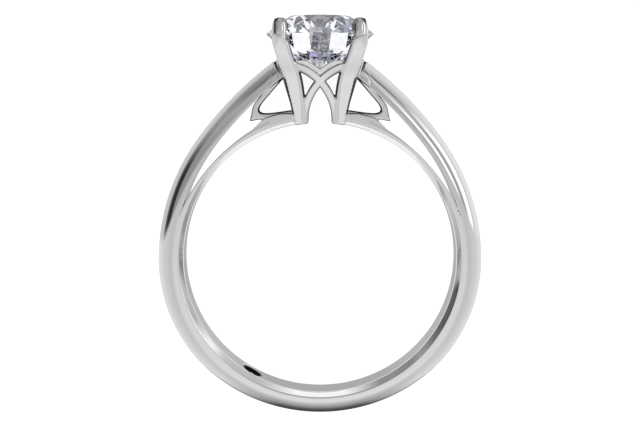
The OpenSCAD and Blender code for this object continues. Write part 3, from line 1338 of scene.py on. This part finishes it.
@dataclass(frozen=True)
class Studio:
    """Floor, light and camera.

    Attributes:
        camera_place: Camera in the ring's frame, in millimetres.
        camera_target: Where it looks.
        picture_scale: Pixels for each unit of slope.
        picture_half: Half the picture's width in pixels.
        clip: Least and greatest distance that the camera sees, in metres.
        floor_size: Half the width of the floor, in metres.
        paper_tint: Colour of the floor.
        paper_roughness: Its roughness.
        key: Brightness of the world for the floor.
        glow: Light that the floor gives off itself, so that shadows on it stay faint.
        metal_light: Brightness of the zones that the metal reflects.
        stone_light: Brightness of the panes that the stone refracts.
        pane_scale: Number of panes in a unit of direction.
        pane_colours: Share of the panes at which each colour begins, and the colour.
        below_band: Sideways part of a direction, and brightness, of the band that the stone shows below it.
        below_share: How much the band counts against the panes there.
        below_from: Height of the direction where it begins to count, and where it has its full share.
        card_light: Brightness of the white card that the inside of the hoop reflects.
        card_half: Half its width in millimetres.
        card_place: Its middle in the ring's frame.
        card_rise: Its height above the floor in millimetres.
        card_sides: Number of its sides.
        lengthwise: Turn from straight up towards the bottom of the shank in degrees, and brightness.
        open_side: Height of the direction, and brightness, where the sides are open.
        card_side: The same where the dark card stands.
        card_zone: Compass direction in degrees from the bottom of the shank, to the right, and share of
            the dark card.
        strip_side: The same as open_side where the lit strips are.
        strip_zone: Compass direction, and share of the strips.
        grey_side: The same as open_side to the left beyond the stone.
        grey_zone: Compass direction, and share of that side.
        line_side: The same as open_side to the right beyond the stone.
        line_zone: Compass direction, and share of that side.
        side_from: Sideways part of a direction where the sides begin to count.
        side_to: Where they count alone.
    """

    camera_place: tuple[float, float, float] = (0.0, 11.654, 64.169)
    camera_target: tuple[float, float, float] = (0.0, 2.636, 0.0)
    picture_scale: float = 1059.0
    picture_half: float = 320.0
    clip: tuple[float, float] = (0.005, 20.0)
    floor_size: float = 1.5
    paper_tint: tuple = (0.9, 0.9, 0.9, 1)
    paper_roughness: float = 0.9
    key: float = 0.55
    glow: float = 0.7
    metal_light: float = 1.0
    stone_light: float = 1.5
    pane_scale: float = 1.7
    pane_colours: tuple = (
        (0.0, (0.95, 0.95, 1.0, 1)), (0.34, (0.2, 0.23, 0.29, 1)), (0.54, (0.95, 0.95, 1.0, 1)),
        (0.66, (0.02, 0.02, 0.04, 1)), (0.8, (0.42, 0.38, 0.6, 1)), (0.86, (0.14, 0.14, 0.11, 1)),
        (0.93, (0.09, 0.12, 0.17, 1)))
    below_band: tuple = (
        (-1, 1), (-0.3, 1), (-0.28, 0), (-0.24, 0), (-0.2, 0.22), (-0.05, 0.04), (0.02, 0.12),
        (0.1, 0.01), (0.15, 0.04), (0.24, 0.3), (0.27, 1), (1, 1))
    below_share: float = 0.93
    below_from: tuple[float, float] = (-0.4, -0.5)
    card_light: float = 0.95
    card_half: float = 5.0
    card_place: tuple[float, float] = (0.0, -1.5)
    card_rise: float = 0.1
    card_sides: int = 24
    lengthwise: tuple = (
        (-180, 0.47), (-130, 0.45), (-110, 0.55), (-96, 0.9), (-86, 1.2), (-76, 1.1), (-68, 0.45),
        (-20, 0.38), (0, 0.48), (6, 0.55), (11, 0.66), (18, 0.76), (36, 0.83), (45, 0.74), (58, 0.54),
        (84, 0.29), (96, 0.17), (108, 0.08), (150, 0.08), (163, 0.75), (169, 0.75), (174, 0.47),
        (180, 0.47))
    open_side: tuple = ((-1, 0.84), (-0.3, 0.8), (0, 0.73), (0.5, 0.66), (0.9, 0.58), (1, 0.58))
    card_side: tuple = (
        (-1, 0.7), (-0.3, 0.6), (-0.14, 0.55), (-0.08, 0.4), (-0.02, 0.05), (0.01, 0.04), (0.04, 0.13),
        (0.09, 0.13), (0.13, 0.03), (0.45, 0.03), (0.54, 0.28), (1, 0.34))
    card_zone: tuple = (
        (-180, 0), (-142, 0), (-126, 0.3), (-116, 0.8), (-108, 1), (-89, 1), (-86, 0), (180, 0))
    strip_side: tuple = (
        (-1, 0.9), (-0.1, 0.85), (0.08, 0.5), (0.15, 1.25), (0.5, 1.25), (0.55, 0.4), (0.74, 0.4),
        (0.78, 1.25), (0.87, 1.25), (0.91, 0.5), (1, 0.5))
    strip_zone: tuple = ((-180, 0), (88, 0), (90, 1), (118, 1), (128, 0), (180, 0))
    grey_side: tuple = (
        (-1, 0.84), (-0.1, 0.5), (0.1, 0.32), (0.45, 0.3), (0.6, 0.14), (0.68, 0.16), (0.8, 0.4),
        (0.9, 0.6), (1, 0.6))
    grey_zone: tuple = ((-180, 1), (-132, 1), (-118, 0), (180, 0))
    line_side: tuple = (
        (-1, 0.9), (0, 0.7), (0.25, 0.55), (0.45, 0.5), (0.5, 0.14), (0.58, 0.14), (0.64, 0.55), (0.8, 0.8),
        (0.9, 0.6), (1, 0.6))
    line_zone: tuple = ((-180, 0), (118, 0), (132, 1), (180, 1))
    side_from: float = 0.2
    side_to: float = 0.5

    def camera(self, ring: RingFrame) -> None:
        """Stand the camera at the photograph's angle to the ring.

        Args:
            ring: The ring's frame.
        """
        place = Vector(ring.place(np.array(self.camera_place)))
        target = Vector(ring.place(np.array(self.camera_target)))
        back = (place - target).normalized()
        up = Vector(ring.place(np.array([0.0, 1.0, 0.0]))).normalized()
        right = up.cross(back).normalized()
        turned = Matrix((right, back.cross(right), back)).transposed()
        data = bpy.data.cameras.new("camera")
        data.sensor_fit = "HORIZONTAL"
        data.angle = 2 * float(np.arctan(self.picture_half / self.picture_scale))
        data.clip_start, data.clip_end = self.clip
        camera = bpy.data.objects.new("camera", data)
        camera.matrix_world = Matrix.Translation(place) @ turned.to_4x4()
        bpy.context.scene.collection.objects.link(camera)
        bpy.context.scene.camera = camera

    def floor(self, height: float) -> None:
        """Lay a white floor under the ring. Reflections and the stone show the world instead of it.

        Args:
            height: Height of the floor in metres.
        """
        size = self.floor_size
        line = np.linspace(-size, size, 3)
        grid = np.stack(np.meshgrid(line, line, [height], indexing="ij"), axis=-1)[:, :, 0]
        work = Patchwork()
        work.add(grid, np.array([0, 0, 1]))
        points, faces = work.weld()
        piece = mesh_object("floor", points, faces)
        piece.visible_glossy = False
        piece.visible_transmission = False
        material = bpy.data.materials.new("white_paper")
        material.use_nodes = True
        shader = material.node_tree.nodes["Principled BSDF"]
        shader.inputs["Base Color"].default_value = self.paper_tint
        shader.inputs["Roughness"].default_value = self.paper_roughness
        shader.inputs["Specular IOR Level"].default_value = 0.0
        shader.inputs["Emission Color"].default_value = (1, 1, 1, 1)
        shader.inputs["Emission Strength"].default_value = self.glow
        piece.data.materials.append(material)

    def card(self, ring: RingFrame, height: float) -> None:
        """Lay a white card inside the hoop that only shows as a reflection.

        Args:
            ring: The ring's frame.
            height: Height of the floor in metres.
        """
        middle = ring.place(np.array([*self.card_place, 0.0]))
        angles = np.linspace(0, 2 * np.pi, self.card_sides, endpoint=False)
        rim = middle[:2] + MM * self.card_half * unit(angles)
        points = np.concatenate([rim, np.full((len(rim), 1), height + self.card_rise * MM)], axis=-1)
        piece = mesh_object("card", points, [list(range(len(rim)))])
        piece.visible_camera = False
        piece.visible_diffuse = False
        piece.visible_transmission = False
        piece.visible_shadow = False
        material = bpy.data.materials.new("lit_card")
        material.use_nodes = True
        shader = material.node_tree.nodes["Principled BSDF"]
        shader.inputs["Base Color"].default_value = (0, 0, 0, 1)
        shader.inputs["Emission Color"].default_value = (1, 1, 1, 1)
        shader.inputs["Emission Strength"].default_value = self.card_light
        piece.data.materials.append(material)

    def world(self) -> None:
        """Light the ring by a world of soft zones, with an even white one for the floor.

        Lengthwise is the brightness along the plane of the stone's axis, by the turn from straight up towards
        the bottom of the shank. The sides are brightnesses by height, chosen by the direction on the compass:
        open at the bottom, a dark card at the upper left, two lit strips at the upper right, and beyond the
        stone a grey side to the left and one with a dark line to the right.

        Rays that have passed the stone see panes instead, and diffuse ones an even white.
        """
        world = bpy.data.worlds.new("studio")
        world.use_nodes = True
        bpy.context.scene.world = world
        nodes = NodeTree(world.node_tree)
        way = nodes.add("TexCoord").outputs["Generated"]
        x, y, z = nodes.add("SeparateXYZ", {0: way}).outputs
        bottom = nodes.math("MULTIPLY", y, -1.0)
        lengthwise = nodes.ramp(
            self.share(nodes, nodes.math("ARCTAN2", bottom, z)), self.turns(self.lengthwise))
        compass = self.share(nodes, nodes.math("ARCTAN2", x, bottom))
        height = self.height(nodes, z)
        sides = nodes.ramp(height, self.heights(self.open_side))
        looks = ((self.grey_side, self.grey_zone), (self.line_side, self.line_zone),
                 (self.card_side, self.card_zone), (self.strip_side, self.strip_zone))
        for levels, zone in looks:
            mask = nodes.ramp(compass, self.turns(zone))
            zone_light = nodes.ramp(height, self.heights(levels))
            sides = nodes.add("Mix", {0: mask, 6: sides, 7: zone_light}, data_type="RGBA").outputs[2]
        sideways = nodes.add("MapRange", {
            "Value": nodes.math("ABSOLUTE", x), "From Min": self.side_from, "From Max": self.side_to})
        colour = nodes.add(
            "Mix", {0: sideways.outputs[0], 6: lengthwise, 7: sides}, data_type="RGBA").outputs[2]
        path = nodes.add("LightPath")
        even = nodes.add("Background", {"Color": (1, 1, 1, 1), "Strength": self.key})
        zones = nodes.add("Background", {"Color": colour, "Strength": self.metal_light})
        panes = nodes.add("Background", {"Color": self.panes(nodes, way), "Strength": self.stone_light})
        seen = nodes.add("MixShader", {
            0: path.outputs["Is Transmission Ray"], 1: zones.outputs[0], 2: panes.outputs[0]})
        mix = nodes.add("MixShader", {
            0: path.outputs["Is Diffuse Ray"], 1: seen.outputs[0], 2: even.outputs[0]})
        nodes.tree.links.new(mix.outputs[0], nodes.tree.nodes["World Output"].inputs[0])

    def panes(self, nodes: NodeTree, way: bpy.types.NodeSocket) -> bpy.types.NodeSocket:
        """Bright panes with some grey, dark and faintly coloured ones between, which the stone refracts.

        Below the stone a grey band runs lengthwise, with white on both sides.

        Args:
            nodes: The world's nodes.
            way: The direction.

        Returns:
            The colour.
        """
        cells = nodes.add("TexVoronoi", {"Vector": way, "Scale": self.pane_scale})
        pick = nodes.add("SeparateColor", {0: cells.outputs["Color"]}).outputs[0]
        ramp = nodes.add("ValToRGB", {0: pick})
        elements = ramp.color_ramp.elements
        ramp.color_ramp.interpolation = "CONSTANT"
        for place, _ in self.pane_colours[2:]:
            elements.new(place)
        for element, (place, colour) in zip(elements, self.pane_colours):
            element.position = place
            element.color = colour
        x, _, z = nodes.add("SeparateXYZ", {0: way}).outputs
        band = nodes.ramp(self.height(nodes, x), self.heights(self.below_band))
        begin, full = self.below_from
        below = nodes.add("MapRange", {
            "Value": z, "From Min": begin, "From Max": full, "To Max": self.below_share}).outputs[0]
        return nodes.add("Mix", {0: below, 6: ramp.outputs[0], 7: band}, data_type="RGBA").outputs[2]

    @staticmethod
    def share(nodes: NodeTree, turn: bpy.types.NodeSocket) -> bpy.types.NodeSocket:
        """Angle in radians as a share of the circle, with -180 degrees at 0."""
        return nodes.math("ADD", nodes.math("DIVIDE", turn, 2 * np.pi), 0.5)

    @staticmethod
    def height(nodes: NodeTree, part: bpy.types.NodeSocket) -> bpy.types.NodeSocket:
        """Part of a unit direction, from -1 to 1, as a place on a ramp."""
        return nodes.math("ADD", nodes.math("MULTIPLY", part, 0.5), 0.5)

    @staticmethod
    def turns(stops: tuple) -> list[tuple[float, float]]:
        """Stops given in degrees from -180 to 180, as places on a ramp."""
        return [((angle + 180) / 360, grey) for angle, grey in stops]

    @staticmethod
    def heights(stops: tuple) -> list[tuple[float, float]]:
        """Stops given by a part of a unit direction, from -1 to 1, as places on a ramp."""
        return [((height + 1) / 2, grey) for height, grey in stops]


def dress(piece: bpy.types.Object, material: bpy.types.Material, node: str) -> None:
    """Give a new piece its material and its place in the frame.

    Args:
        piece: The piece.
        material: Its material.
        node: The CAD node that it stands for.
    """
    piece.data.materials.append(material)
    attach(piece, "root")
    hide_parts(node)
    LOG.info("%s: %d vertices, %d faces", piece.name, len(piece.data.vertices), len(piece.data.polygons))


def main() -> None:
    """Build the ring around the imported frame."""
    logging.basicConfig(level=logging.INFO, format="%(name)s: %(message)s")
    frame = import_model()
    ring = RingFrame.from_record(frame["record"])
    outline = Outline(ring.hole_r)
    bpy.context.scene.view_settings.view_transform = "Standard"
    bpy.context.scene.cycles.glossy_bounces = LIGHT_STEPS
    bpy.context.scene.cycles.max_bounces = LIGHT_STEPS

    marks = polish_group()
    platinum = Platinum()
    dress(Hoop(ring, outline).build(), platinum.material(marks, "platinum_hoop", platinum.recess_mask),
          "mounting")
    dress(Setting(ring, outline).build(), platinum.material(marks, "platinum_setting", platinum.painted_shade_mask),
          "mounting")
    stone = frame["nodes"]["center_stone"]
    stone.data.materials.clear()
    stone.data.materials.append(Diamond().material())
    LOG.info("center_stone: %d triangles", len(stone.data.polygons))

    studio = Studio()
    studio.camera(ring)
    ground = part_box("mounting")[0][2]
    studio.floor(ground)
    studio.card(ring, ground)
    studio.world()


if __name__ == "__main__":
    main()
